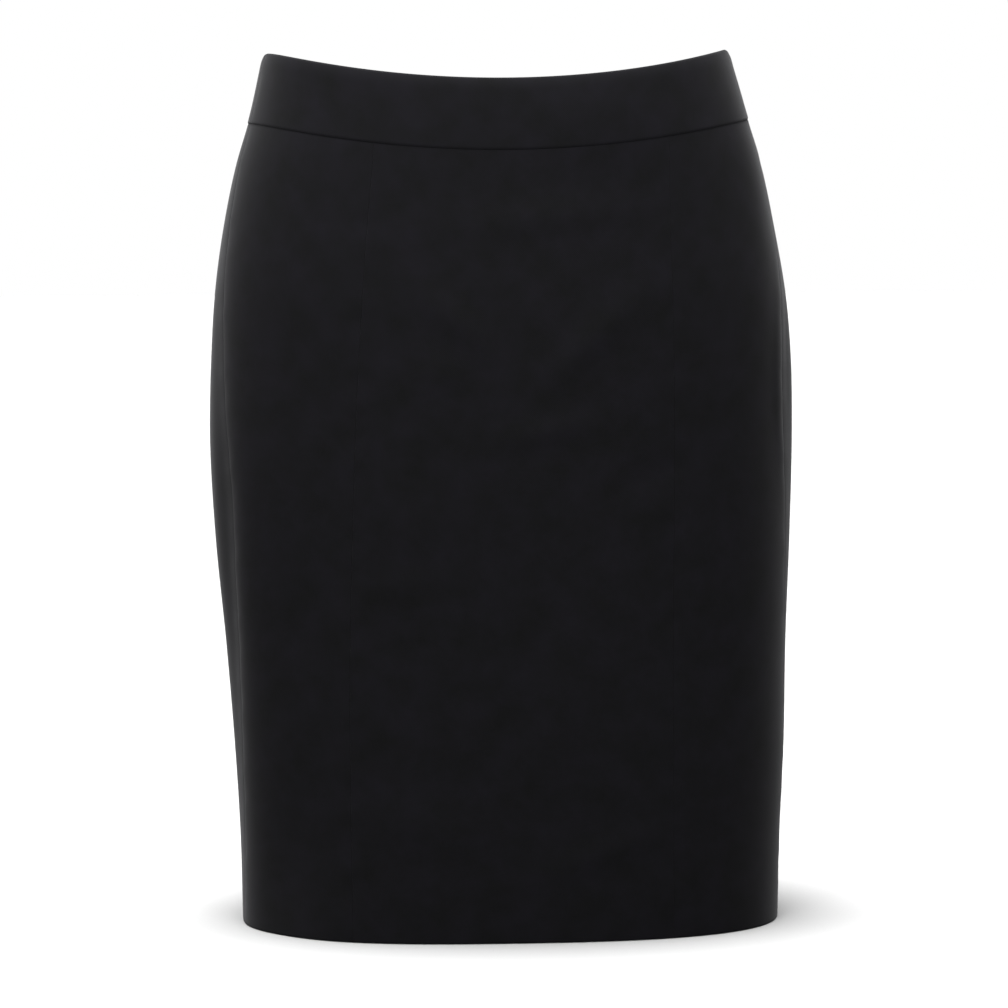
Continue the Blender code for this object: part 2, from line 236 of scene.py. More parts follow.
def panel_seam(side):
    def angle_at(level):
        form = form_at(level)
        x = read_table(SEAM_COLUMNS, SEAM_ROWS, level)["panel_seam_" + side]
        power = form["front_squareness"]
        y = -form["front_depth"] * (1 - (np.abs(x) / form["half_width"]) ** power) ** (1 / power)
        return np.arctan2(y, x)
    return angle_at


def side_seam(side, turns=0):
    def angle_at(level):
        form = form_at(level)
        y = read_table(SEAM_COLUMNS, SEAM_ROWS, level)["side_seam_" + side]
        power = form["front_squareness"]
        x = form["half_width"] * (1 - (np.abs(y) / form["front_depth"]) ** power) ** (1 / power)
        angle = np.arctan2(y, x) if side == "left" else -math.pi - np.arctan2(y, x)
        return angle + turns * 2 * math.pi
    return angle_at


def back_seam(offset=0.0):
    """The middle of the back, or a line beside it by offset metres towards the left."""
    def angle_at(level):
        return math.pi / 2 - offset / form_at(level)["back_depth"]
    return angle_at


def waist_line(level, front_dip, back_dip, angle):
    """A line round the waist that dips to the middle of the front and back, and a little to the right."""
    form = form_at(np.full(np.shape(angle), level))
    across = (form_points(level, angle, 0.0)[..., 0] - form["sideways"]) / form["half_width"]
    dip = np.where(np.sin(angle) < 0, front_dip, back_dip)
    return level + dip * (1 - across ** 2) + WAIST_TILT * (1 - across)


def waist_edge(angle):
    return waist_line(0.0, TOP_DIP_FRONT, TOP_DIP_BACK, angle)


def waist_seam(angle):
    return waist_line(WAISTBAND_HEIGHT, SEAM_DIP_FRONT, SEAM_DIP_BACK, angle)


def always(value):
    """A line, or a width, that is the same everywhere."""
    return lambda here: np.full(np.shape(here), value)


hem_edge = always(SIDE_LENGTH)


def soft(distance, reach):
    """A smooth hill, 1 at no distance and almost gone at twice its reach."""
    return np.exp(-(distance / reach) ** 2)


def rise(start, end, value):
    """Goes smoothly from 0 at start to 1 at end."""
    share = np.clip((value - start) / (end - start), 0, 1)
    return share ** 2 * (3 - 2 * share)


def metres_from(seam, level, angle):
    """Metres round the form from a seam to here, at this level."""
    turn = (angle - seam(level) + math.pi) % (2 * math.pi) - math.pi
    return turn * metres_round(level, seam(level))


def fold_hill(fold, across, level):
    """One fold of a table, as its height here. across is measured from where its x is."""
    slope = math.radians(fold["slope"])
    down = level - fold["level"]
    along = across * math.cos(slope) - down * math.sin(slope)
    off = across * math.sin(slope) + down * math.cos(slope)
    return fold["height"] * soft(along, fold["length"]) * soft(off, fold["width"])


def drape(level, angle):
    """How far the worn cloth stands out from the form, fold by fold."""
    x = form_points(level, angle, 0.0)[..., 0]
    front_face, back_face = (rise(0.0, end, np.sin(angle)) for end in (-FACE_BLEND, FACE_BLEND))
    out = np.zeros(np.shape(x))
    for rows, on_face in ((FRONT_FOLDS, front_face), (BACK_FOLDS, back_face)):
        for fold in (dict(zip(FOLD_COLUMNS, row)) for row in rows):
            out += fold_hill(fold, x - fold["x"], level) * on_face
    for side, rows in SIDE_FOLDS.items():
        behind = metres_from(side_seam(side), level, angle) * (1 if side == "left" else -1)
        for fold in (dict(zip(SIDE_FOLD_COLUMNS, row)) for row in rows):
            run = soft(behind - fold["behind_seam"], fold["width"])
            out += fold["height"] * run * soft(level - fold["level"], fold["length"])
    below_band = rise(*SEAM_SHOWS_FROM, level)
    seams = (
        (panel_seam("right"), below_band), (panel_seam("left"), below_band),
        (side_seam("right"), 1), (side_seam("left"), 1), (back_seam(), 1),
    )
    for place, (seam, shows) in enumerate(seams):
        away = metres_from(seam, level, angle)
        out -= TROUGH_DEPTH * soft(away, TROUGH_REACH) * shows
        for wave in (dict(zip(PUCKER_COLUMNS, row)) for row in PUCKER_WAVES):
            turn = 2 * math.pi * level / wave["wave_length"] + wave["start"] + PUCKER_SHIFT * place
            out += wave["height"] * np.sin(turn) * soft(away, PUCKER_REACH) * shows
    return out


def cloth_points(level, angle, depth):
    return form_points(level, angle, depth - drape(level, angle))


def arc(steps):
    """Turns of a half circle, from minus to plus a quarter turn."""
    return np.linspace(-math.pi / 2, math.pi / 2, steps + 1)


COLUMN_FIELDS = ("share", "run", "allowance", "depth", "behind", "overlocked", "groove")
ROW_FIELDS = ("share", "drop", "depth", "turned", "overlocked")


def named(fields, rows):
    return {field: np.array(values) for field, values in zip(fields, zip(*rows))}


def seam_edge():
    """Columns from an allowance's overlocked edge to the seam, round the fold there and on to the panel."""
    behind = 2 * ROLL_DEPTH
    edge = [(0, 0, 1, behind, True, 1, 0), (0, -OVERLOCK, 1, behind, True, 1, 0)]
    edge += [(0, -OVERLOCK - OVERLOCK_BORDER, 1, behind, True, 0, 0)]
    edge += [(0, ROLL_WIDTH, share, behind, True, 0, 0) for share in (0.45, 0.20, 0.03)]
    for turn in arc(ROLL_STEPS):
        run = ROLL_WIDTH * (1 - math.cos(turn))
        edge.append((0, run, 0, ROLL_DEPTH * (1 - math.sin(turn)), turn < -0.01, 0, 0))
    return edge + [(0, 3 * ROLL_WIDTH, 0, 0, False, 0, 0)]


def mirrored(edge):
    """The same edge at the other end of the piece."""
    return [(1 - share, -run, -allowance, *rest) for share, run, allowance, *rest in reversed(edge)]


def even_columns(width, step=CLOTH_STEP):
    count = round(width / step)
    return [(column / count, 0, 0, 0, False, 0, 0) for column in range(1, count)]


def panel_columns(width):
    return named(COLUMN_FIELDS, seam_edge() + even_columns(width) + mirrored(seam_edge()))


def hem_rows():
    """Rows round the hem's fold, and up inside to the overlocked edge."""
    rows = [(1, -2 * HEM_ROLL, 0, False, 0)]
    for turn in reversed(arc(ROLL_STEPS)):
        drop = -HEM_ROLL * (1 - math.cos(turn))
        rows.append((1, drop, HEM_ROLL * (1 - math.sin(turn)), turn < 1.5, 0))
    inner = [(share * (HEM_TURN_UP - OVERLOCK), 0) for share in np.linspace(0.1, 0.99, 9)]
    inner += [(HEM_TURN_UP - OVERLOCK, 1), (HEM_TURN_UP, 1)]
    return rows + [(1, -HEM_ROLL - height, 2 * HEM_ROLL, True, edge) for height, edge in inner]


def panel_rows(length):
    """Rows from the edge tucked under the waistband down to the hem."""
    tuck = []
    for drop in WAIST_TUCK_DROPS:
        depth = WAIST_TUCK_DEPTH * (1 - rise(*WAIST_TUCK_EDGE, drop))
        tuck.append((0, drop, depth, drop < WAIST_TUCK_DROPS[-1], 0))
    count = round(length / CLOTH_STEP)
    body = [(row / count, 0, 0, False, 0) for row in range(1, count)]
    return named(ROW_FIELDS, tuck + body + hem_rows())


def new_material(name):
    material = bpy.data.materials.new(name)
    material.use_nodes = True
    return material, material.node_tree, material.node_tree.nodes["Principled BSDF"]


def feed(tree, node, inputs):
    """Links a node's inputs to sockets, or sets them to values."""
    for name, value in inputs.items():
        if isinstance(value, bpy.types.NodeSocket):
            tree.links.new(value, node.inputs[name])
        else:
            node.inputs[name].default_value = value


def add_node(tree, kind, inputs=None, **settings):
    """Adds a shader node, with its settings and its inputs."""
    node = tree.nodes.new(kind)
    for name, value in settings.items():
        setattr(node, name, value)
    feed(tree, node, inputs or {})
    return node


def texture(tree, kind, vector, inputs, **settings):
    """The value of a noise or wave texture."""
    node = add_node(tree, "ShaderNodeTex" + kind, {"Vector": vector, **inputs}, **settings)
    return node.outputs["Fac"]


def mixed(tree, share, first, second, **settings):
    node = add_node(tree, "ShaderNodeMix", {"Factor": share, "A": first, "B": second}, **settings)
    return node.outputs["Result"]


def between(tree, value, low, high):
    """A value from 0 to 1, stretched to run from low to high."""
    node = add_node(tree, "ShaderNodeMapRange", {"Value": value, "To Min": low, "To Max": high})
    return node.outputs["Result"]


def bumped(tree, height, strength, distance):
    node = add_node(tree, "ShaderNodeBump", {"Height": height, "Strength": strength, "Distance": distance})
    return node.outputs["Normal"]


def make_woven_group():
    """Threads of a fine twill, and the faint clouding of dyed cloth, on a map of the flat cloth in metres."""
    group = bpy.data.node_groups.new("woven_cloth", "ShaderNodeTree")
    sockets = group.interface
    sockets.new_socket("Flat cloth", in_out="INPUT", socket_type="NodeSocketVector")
    sockets.new_socket("Thread", in_out="INPUT", socket_type="NodeSocketFloat")
    sockets.new_socket("Unevenness", in_out="INPUT", socket_type="NodeSocketFloat")
    sockets.new_socket("Height", in_out="OUTPUT", socket_type="NodeSocketFloat")
    sockets.new_socket("Clouding", in_out="OUTPUT", socket_type="NodeSocketFloat")
    given = add_node(group, "NodeGroupInput")
    count = add_node(group, "ShaderNodeMath", {0: 1.0, 1: given.outputs["Thread"]}, operation="DIVIDE")
    per_thread = add_node(
        group, "ShaderNodeVectorMath", {0: given.outputs["Flat cloth"], "Scale": count.outputs[0]},
        operation="SCALE",
    )
    twill = texture(
        group, "Wave", per_thread.outputs[0],
        {"Scale": 0.25, "Distortion": 1.2, "Detail": 2.0, "Detail Scale": 1.5}, bands_direction="DIAGONAL",
    )
    threads = texture(group, "Noise", per_thread.outputs[0], {"Scale": 1.3, "Detail": 2.0})
    flat = given.outputs["Flat cloth"]
    clouds = texture(group, "Noise", flat, {"Scale": 42.0, "Detail": 6.0, "Roughness": 0.62})
    sharper = add_node(group, "ShaderNodeMapRange", {"Value": clouds, "From Min": 0.32, "From Max": 0.68})
    swells = texture(group, "Noise", flat, {"Scale": 38.0, "Detail": 3.0, "Roughness": 0.45})
    uneven = add_node(
        group, "ShaderNodeMath",
        {0: swells, 1: given.outputs["Unevenness"], 2: mixed(group, 0.45, twill, threads)},
        operation="MULTIPLY_ADD",
    )
    add_node(group, "NodeGroupOutput", {"Height": uneven.outputs[0], "Clouding": sharper.outputs[0]})
    return group


def make_suiting():
    """Matt black suiting: a fine worsted twill with a soft nap that catches light at its edges."""
    material, tree, shader = new_material("black_suiting")
    flat = add_node(tree, "ShaderNodeUVMap", uv_map="flat_cloth")
    woven = add_node(
        tree, "ShaderNodeGroup", {"Flat cloth": flat.outputs[0], "Thread": 0.0005, "Unevenness": 3.5},
        node_tree=make_woven_group(),
    )
    colour = mixed(
        tree, woven.outputs["Clouding"], (0.0106, 0.0107, 0.0114, 1), (0.0142, 0.0135, 0.0170, 1),
        data_type="RGBA",
    )
    edging = add_node(tree, "ShaderNodeAttribute", attribute_name="overlocked")
    stitches = texture(
        tree, "Wave", flat.outputs[0], {"Scale": 250.0, "Distortion": 0.6}, bands_direction="DIAGONAL",
    )
    height = mixed(tree, edging.outputs["Fac"], woven.outputs["Height"], stitches)
    feed(tree, shader, {
        "Base Color": colour, "Normal": bumped(tree, height, 0.35, 0.00012), "Roughness": 0.75,
        "Specular IOR Level": 0.05, "Sheen Weight": 0.155, "Sheen Roughness": 0.36,
        "Sheen Tint": (0.96, 0.96, 0.98, 1),
    })
    return material


def take_mesh(name, maker):
    """The mesh that a bmesh has made."""
    mesh = bpy.data.meshes.new(name)
    maker.to_mesh(mesh)
    maker.free()
    return mesh


def put_in_scene(name, data):
    thing = bpy.data.objects.new(name, data)
    bpy.context.scene.collection.objects.link(thing)
    return thing


def smooth_piece(name, mesh, material, body):
    """A finished piece of one material, which moves with a body."""
    mesh.materials.append(material)
    mesh.shade_smooth()
    piece = put_in_scene(name, mesh)
    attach(piece, body)
    return piece


def cloth_piece(name, columns, rows, place, material, thickness=CLOTH_THICKNESS):
    """A sheet of cloth, as a fine grid whose points are placed on the form, then given its thickness."""
    last_column, last_row = len(columns["share"]) - 1, len(rows["share"]) - 1
    sheet = bmesh.new()
    bmesh.ops.create_grid(sheet, x_segments=last_column, y_segments=last_row, size=0.5)
    corners = [
        point for point in sheet.verts
        if columns["behind"][round((point.co.x + 0.5) * last_column)]
        and rows["turned"][round((0.5 - point.co.y) * last_row)]
    ]
    bmesh.ops.delete(sheet, geom=corners, context="VERTS")
    mesh = take_mesh(name, sheet)

    points = place(
        {field: values[None, :] for field, values in columns.items()},
        {field: values[:, None] for field, values in rows.items()},
    )
    middle = last_column // 2
    across = np.linalg.norm(np.diff(points, axis=1, prepend=points[:, :1]), axis=-1).cumsum(axis=1)
    down = np.linalg.norm(np.diff(points[:, middle], axis=0, prepend=points[:1, middle]), axis=-1).cumsum()
    unit = np.empty(3 * len(mesh.vertices), np.float32)
    mesh.vertices.foreach_get("co", unit)
    unit = unit.reshape(-1, 3)
    column = np.rint((unit[:, 0] + 0.5) * last_column).astype(int)
    row = np.rint((0.5 - unit[:, 1]) * last_row).astype(int)
    mesh.vertices.foreach_set("co", points[row, column].astype(np.float32).ravel())

    corner_points = np.empty(len(mesh.loops), np.int32)
    mesh.loops.foreach_get("vertex_index", corner_points)
    flat = np.stack((across[row, column] - across[row, middle], -down[row]), axis=-1)
    layer = mesh.uv_layers.new(name="flat_cloth")
    layer.data.foreach_set("uv", flat[corner_points].astype(np.float32).ravel())

    overlocked = np.maximum(columns["overlocked"][column], rows["overlocked"][row])
    edging = mesh.attributes.new("overlocked", "FLOAT", "POINT")
    edging.data.foreach_set("value", overlocked.astype(np.float32))

    piece = smooth_piece(name, mesh, material, "skirt")
    wall = piece.modifiers.new("thickness", "SOLIDIFY")
    wall.thickness = thickness
    wall.offset = -1
    return piece


narrow_allowance = always(SEAM_ALLOWANCE)


def settle(column, row, first, last, upper, lower, first_allowance=narrow_allowance,
           last_allowance=narrow_allowance, start=SIDE_LENGTH / 2):
    """Level and angle of every point of a piece that lies between two seams and two edges."""
    level = np.full(np.broadcast_shapes(column["share"].shape, row["share"].shape), start)
    for _ in range(SETTLING_ROUNDS):
        width = np.where(column["allowance"] > 0, first_allowance(level), last_allowance(level))
        seam = first(level) + (last(level) - first(level)) * column["share"]
        angle = seam + (column["run"] + column["allowance"] * width) / metres_round(level, seam)
        top = upper(angle)
        level = top + (lower(angle) - top) * row["share"] + row["drop"]
    return level, angle


def panel_place(first, last, upper=waist_seam, lower=hem_edge, shape=None, **allowances):
    """Places a panel between two seams and two edges. shape adds a depth of its own."""
    def place(column, row):
        level, angle = settle(column, row, first, last, upper, lower, **allowances)
        depth = column["depth"] + row["depth"]
        if shape:
            depth = depth + shape(level, angle, column)
        return cloth_points(level, angle, depth)
    return place


suiting = make_suiting()
PANEL_LENGTH = 0.480
for name, width, first, last, cut_size, cut_area in (
    ("front_centre", 0.200, panel_seam("right"), panel_seam("left"), (0.224, 0.515), 0.113),
    ("front_side_left", 0.120, panel_seam("left"), side_seam("left"), (0.148, 0.533), 0.069),
    ("front_side_right", 0.120, side_seam("right"), panel_seam("right"), (0.143, 0.529), 0.066),
):
    panel = cloth_piece(
        name + "_cloth", panel_columns(width), panel_rows(PANEL_LENGTH), panel_place(first, last), suiting,
    )
    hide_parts(name)


# --- Back panels ---
# Two panels of the same suiting, each with one dart. The zip and then a seam join them down the middle,
# and below it the left panel's facing folds back to make the upper layer of the walking vent.

BACK_WIDTH = 0.260
DART_SHARE = 0.36
DART_END = 0.165
DART_GROOVE = 0.0007
DART_GROOVE_REACH = 0.0004
DART_GROOVE_FADE = 0.02
DART_RUNS = (-0.0016, -0.0008, -0.0004, -0.0002, 0, 0.0002, 0.0004, 0.0008, 0.0016)
DART_CLEAR = 0.0026
DART_INTAKE = 0.011
DART_WIDEST = 0.055
DART_POINT = 0.015
DART_LAYERS = (0.00068, 0.00190)
DART_ROWS = 36
VENT_TOP = 0.376
VENT_FACING = 0.035
VENT_FACING_SLANT = 0.014
VENT_LAP = 0.0011
VENT_LAP_REACH = 0.014
VENT_LAP_RISE = 0.025
CENTRE_ALLOWANCE = 0.015


def vent_facing(level):
    return CENTRE_ALLOWANCE + (VENT_FACING - CENTRE_ALLOWANCE) * rise(
        VENT_TOP - VENT_FACING_SLANT, VENT_TOP, level,
    )


def back_columns(dart_share):
    """Columns of a back panel, closer together at its dart."""
    dart = [(dart_share, run, 0, 0, False, 0, math.exp(-(run / DART_GROOVE_REACH) ** 2))
            for run in DART_RUNS]
    clear = DART_CLEAR / BACK_WIDTH
    before = [column for column in even_columns(BACK_WIDTH) if column[0] < dart_share - clear]
    after = [column for column in even_columns(BACK_WIDTH) if column[0] > dart_share + clear]
    return named(COLUMN_FIELDS, seam_edge() + before + dart + after + mirrored(seam_edge()))


def back_shape(lap):
    """The groove of the dart, and how far the panel's middle edge lies in or out at the vent."""
    def depth_at(level, angle, column):
        groove = DART_GROOVE * column["groove"] * (1 - rise(DART_END - DART_GROOVE_FADE, DART_END, level))
        from_middle = metres_from(back_seam(), level, angle)
        lapped = rise(VENT_TOP, VENT_TOP + VENT_LAP_RISE, level) * soft(from_middle, VENT_LAP_REACH)
        return groove + lap * lapped
    return depth_at


def dart_line(first, last, share):
    return lambda level: first(level) + (last(level) - first(level)) * share


def dart_width(level):
    return DART_INTAKE * np.clip((DART_END - level) / (DART_END - DART_WIDEST), DART_POINT, 1)


def dart_columns(towards):
    """Columns of a dart's fold, pressed towards the middle: along one layer and back along the other."""
    near, far = DART_LAYERS
    layers = [(share, near) for share in (0, 0.35, 0.7, 0.96)]
    layers += [(1, near + 0.0001), (1.02, (near + far) / 2)]
    layers += [(share, far) for share in (0.99, 0.7, 0.35, 0.02)]
    columns = [(0, 0, towards * share, depth, False, 0, 0) for share, depth in layers]
    return named(COLUMN_FIELDS, columns[::towards])


dart_rows = named(ROW_FIELDS, [(row / DART_ROWS, 0, 0, False, 0) for row in range(DART_ROWS + 1)])
back_seams = {
    "left": (side_seam("left"), back_seam(), 1 - DART_SHARE),
    "right": (back_seam(), side_seam("right", turns=1), DART_SHARE),
}
back_panels = {}
for side, lap, allowance in (
    ("left", -VENT_LAP / 4, {"last_allowance": vent_facing}),
    ("right", VENT_LAP, {"first_allowance": always(CENTRE_ALLOWANCE)}),
):
    first, last, share = back_seams[side]
    back_panels[side] = cloth_piece(
        "back_" + side + "_cloth", back_columns(share), panel_rows(PANEL_LENGTH),
        panel_place(first, last, shape=back_shape(lap), **allowance), suiting,
    )
for side, towards, cut_size, cut_area in (
    ("left", 1, (0.346, 0.531), 0.168), ("right", -1, (0.340, 0.530), 0.166),
):
    panel, line = back_panels[side], dart_line(*back_seams[side])
    fold = cloth_piece("dart_fold_" + side, dart_columns(towards), dart_rows, panel_place(
        line, line, lower=always(DART_END), first_allowance=dart_width, last_allowance=dart_width,
    ), suiting)
    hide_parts("back_" + side)


# --- Vent underlap ---
# The under layer of the walking vent: one more strip of suiting, sewn to the right panel behind the
# middle seam. Its free edge is turned back and its hem turned up, a little shorter than the skirt's.

UNDERLAP_WIDTH = 0.038
UNDERLAP_SEAM = 0.010
UNDERLAP_SLANT = 0.012
UNDERLAP_DEPTH = 0.0031
UNDERLAP_SHORTER = 0.003
UNDERLAP_TURNED_BACK = 0.010
UNDERLAP_PLAIN = 0.9
UNDERLAP_ROWS = 50
HEM_BACK_DEPTH = FORM_ROWS[-1][FORM_COLUMNS.index("back_depth")]


def underlap_top(angle):
    offset = (math.pi / 2 - angle) * HEM_BACK_DEPTH
    return VENT_TOP + UNDERLAP_SLANT * offset / UNDERLAP_WIDTH


def underlap_hem(angle):
    return hem_edge(angle) - UNDERLAP_SHORTER


raw_side = [(1, -OVERLOCK - OVERLOCK_BORDER, 0, 0, False, 0, 0)]
raw_side += [(1, -OVERLOCK, 0, 0, False, 1, 0), (1, 0, 0, 0, False, 1, 0)]
raw_top = [(0, 0, 0, False, 1), (0, OVERLOCK, 0, False, 1), (0, OVERLOCK + OVERLOCK_BORDER, 0, False, 0)]
strip = [column for column in even_columns(UNDERLAP_WIDTH + UNDERLAP_SEAM) if column[0] < UNDERLAP_PLAIN]
lengthwise = [(row / UNDERLAP_ROWS, 0, 0, False, 0) for row in range(2, UNDERLAP_ROWS)]
underlap = cloth_piece(
    "vent_underlap_cloth", named(COLUMN_FIELDS, seam_edge() + strip + raw_side),
    named(ROW_FIELDS, raw_top + lengthwise + hem_rows()),
    panel_place(
        back_seam(UNDERLAP_WIDTH), back_seam(-UNDERLAP_SEAM), underlap_top, underlap_hem,
        first_allowance=always(UNDERLAP_TURNED_BACK), shape=lambda level, angle, column: UNDERLAP_DEPTH,
    ), suiting,
)
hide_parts("vent_underlap")


# --- Waistband ---
# A contoured band in three lengths, parted at the side seams and at the zip. Each is one strip folded
# over at the top: its outer face stands a little proud of the skirt, and its inner face covers the seam.

BAND_OUTER = -0.0005
BAND_INNER = 0.0020
BAND_MIDDLE = (BAND_INNER + BAND_OUTER) / 2
BAND_HALF = (BAND_INNER - BAND_OUTER) / 2
BAND_STEP = 0.0025
BAND_ROLL = 0.00040
BAND_FOLD_STEPS = 14
BAND_BORDER = 0.0002
EDGE_DRAWN_IN = 0.00041
EDGE_REACH = 0.0008
TOP_LEAN = 0.0015
TOP_REACH = 0.009
BAND_ROW_FIELDS = ("share", "drop", "face", "turned", "overlocked")


def band_columns(width):
    ends = [column for column in seam_edge() if not column[4]]
    return named(COLUMN_FIELDS, ends + even_columns(width, BAND_STEP) + mirrored(ends))


def band_rows():
    """Rows up the inner face, over the fold at the top, down the outer face and round under its edge."""
    inner = [(1, OVERLOCK, -1, False, 1)]
    inner += [(1, BAND_BORDER, -1, False, 1), (1, -BAND_BORDER, -1, False, 0)]
    inner += [(share, 0, -1, False, 0) for share in np.linspace(0.96, 0.1, 17)]
    fold = [(0, BAND_HALF * (1 - math.cos(turn)), math.sin(turn), False, 0)
            for turn in arc(BAND_FOLD_STEPS)]
    outer = [(share, 0, 1, False, 0) for share in np.linspace(0.06, 0.93, 24)]
    centre = 1 - ROLL_DEPTH / BAND_HALF
    roll = []
    for turn in reversed(arc(ROLL_STEPS)):
        drop = -BAND_ROLL * (1 - math.cos(turn))
        roll.append((1, drop, centre + (1 - centre) * math.sin(turn), False, 0))
    near = [(1, -height, 1, False, 0) for height in (0.0022, 0.0015, 0.0009)]
    under = [(1, -BAND_ROLL - height, 2 * centre - 1, False, 0) for height in (0.002, 0.006)]
    return named(BAND_ROW_FIELDS, inner + fold + outer + near + roll + under)


def top_lean(level, angle):
    """How far the band's top edge leans in to the waist."""
    return TOP_LEAN * (1 - np.clip((level - waist_edge(angle)) / TOP_REACH, 0, 1)) ** 3


def band_place(first, last):
    def place(column, row):
        level, angle = settle(
            column, row, first, last, waist_edge, waist_seam, start=WAISTBAND_HEIGHT / 2,
        )
        depth = BAND_MIDDLE - (BAND_HALF - column["depth"]) * row["face"] + top_lean(level, angle)
        drawn_in = EDGE_DRAWN_IN * soft(waist_seam(angle) - level, EDGE_REACH) * (row["face"] > 0)
        return cloth_points(level, angle, depth + drawn_in)
    return place


for name, width, first, last, cut_size, cut_area in (
    ("waistband_front", 0.36, side_seam("right"), side_seam("left"), (0.399, 0.101), 0.039),
    ("waistband_back_left", 0.21, side_seam("left"), back_seam(), (0.235, 0.102), 0.023),
    ("waistband_back_right", 0.21, back_seam(), side_seam("right", turns=1), (0.240, 0.102), 0.023),
):
    band = cloth_piece(name + "_cloth", band_columns(width), band_rows(), band_place(first, last), suiting)
    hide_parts(name)


# --- Zip tape and coil ---
# The two black knitted tapes of an invisible zip, sewn in behind the middle of the back, each with its
# nylon coil on the inner side. The zip is closed, so the turns of the two coils lie between each other.

TAPE_HALF_WIDTH = 0.013
TAPE_PARTING = 0.0001
TAPE_TOP = 0.0013
TAPE_LENGTH = 0.217
TAPE_DEPTH = 0.0022
TAPE_THICKNESS = 0.00045
TAPE_MIDDLE = 0.1
TAPE_ROWS = 72
TAPE_COLUMNS = 9
COIL_TURNS = 156
COIL_PITCH = 0.0013
COIL_STEPS = 8
COIL_REACH_PAST_MIDDLE = 0.0003
STRAND_SIDES = 5
COIL_STRAND = 0.00024
COIL_HALF_WIDTH = 0.00085
COIL_HALF_THICKNESS = 0.00050
COIL_TOP = 0.0045


def make_zip_tape_cloth():
    """Black polyester, warp knitted in narrow ribs that run down the tape."""
    material, tree, shader = new_material("black_zip_tape")
    flat = add_node(tree, "ShaderNodeUVMap", uv_map="flat_cloth")
    ribs = texture(
        tree, "Wave", flat.outputs[0], {"Scale": 420.0, "Distortion": 0.4}, bands_direction="X",
    )
    loops = texture(tree, "Wave", flat.outputs[0], {"Scale": 520.0}, bands_direction="Y")
    feed(tree, shader, {
        "Base Color": (0.008, 0.008, 0.009, 1), "Roughness": 0.7, "Specular IOR Level": 0.3,
        "Normal": bumped(tree, mixed(tree, 0.4, ribs, loops), 0.6, 0.00015),
    })
    return material


def make_coil_nylon():
    """Nylon drawn to a smooth strand, dulled here and there."""
    material, tree, shader = new_material("black_coil_nylon")
    where = add_node(tree, "ShaderNodeTexCoord")
    wear = texture(tree, "Noise", where.outputs["Object"], {"Scale": 900.0, "Detail": 2.0})
    feed(tree, shader, {
        "Base Color": (0.010, 0.010, 0.011, 1), "Roughness": between(tree, wear, 0.28, 0.46),
    })
    return material


def carry(mesh, place):
    """Moves every point of a mesh that was made flat to its place on the form."""
    points = np.empty(3 * len(mesh.vertices), np.float32)
    mesh.vertices.foreach_get("co", points)
    across, out, up = points.reshape(-1, 3).astype(float).T
    mesh.vertices.foreach_set("co", place(across, out, up).astype(np.float32).ravel())
    carried = bmesh.new()
    carried.from_mesh(mesh)
    bmesh.ops.recalc_face_normals(carried, faces=carried.faces)
    carried.to_mesh(mesh)
    carried.free()


def wound_strand(radius, reach, axis, climb, turn, steps):
    """A bmesh of a strand that winds round at this reach from its axis, and is closed at both ends."""
    maker = bmesh.new()
    ring = bmesh.ops.create_circle(maker, segments=STRAND_SIDES, radius=radius)["verts"]
    bmesh.ops.rotate(maker, verts=ring, cent=(0, 0, 0), matrix=Matrix.Rotation(math.pi / 2, 3, "X"))
    bmesh.ops.translate(maker, verts=ring, vec=(reach, 0, 0))
    bmesh.ops.spin(
        maker, geom=maker.verts[:] + maker.edges[:], cent=(0, 0, 0), axis=axis, dvec=(0, 0, climb),
        angle=turn, steps=steps, use_duplicate=False,
    )
    bmesh.ops.holes_fill(maker, edges=maker.edges, sides=STRAND_SIDES)
    return maker


def coil_place(across, out, up):
    level = waist_edge(np.full(len(up), math.pi / 2)) + COIL_TOP - up
    depth = TAPE_DEPTH + TAPE_THICKNESS + COIL_HALF_THICKNESS - out
    return form_points(level, back_seam(across)(level), depth)


def tape_place(level_row):
    def place(column, row):
        offset = np.broadcast_to(column["run"], np.broadcast_shapes(column["run"].shape, row["share"].shape))
        level = np.full(offset.shape, TAPE_MIDDLE)
        for _ in range(SETTLING_ROUNDS):
            angle = back_seam(offset)(level)
            level = waist_edge(angle) + TAPE_TOP + level_row * row["share"]
        return form_points(level, angle, TAPE_DEPTH + top_lean(level, angle))
    return place


zip_tape_cloth = make_zip_tape_cloth()
coil_nylon = make_coil_nylon()
tape_rows = named(ROW_FIELDS, [(row / TAPE_ROWS, 0, 0, False, 0) for row in range(TAPE_ROWS + 1)])
for side, towards in (("left", 1), ("right", -1)):
    runs = np.linspace(TAPE_PARTING, TAPE_HALF_WIDTH, TAPE_COLUMNS)
    runs = sorted((towards * run for run in runs), reverse=True)
    tape_columns = named(COLUMN_FIELDS, [(0, run, 0, 0, False, 0, 0) for run in runs])
    tape = cloth_piece(
        "zip_tape_" + side, tape_columns, tape_rows, tape_place(TAPE_LENGTH), zip_tape_cloth, TAPE_THICKNESS,
    )
    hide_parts("zip_tape")

    coil_maker = wound_strand(
        COIL_STRAND, COIL_HALF_WIDTH - COIL_STRAND, axis=(0, 0, towards), climb=-COIL_PITCH / COIL_STEPS,
        turn=2 * math.pi * COIL_TURNS, steps=COIL_STEPS * COIL_TURNS,
    )
    flatter = COIL_HALF_THICKNESS / COIL_HALF_WIDTH
    bmesh.ops.scale(coil_maker, vec=(1, flatter, 1), verts=coil_maker.verts)
    start = 0 if towards > 0 else -COIL_PITCH / 2
    middle = towards * (COIL_HALF_WIDTH - COIL_REACH_PAST_MIDDLE)
    bmesh.ops.translate(coil_maker, vec=(middle, 0, start), verts=coil_maker.verts)
    coil_mesh = take_mesh("zip_coil_" + side, coil_maker)
    carry(coil_mesh, coil_place)
    coil = smooth_piece("zip_coil_" + side, coil_mesh, coil_nylon, "skirt")


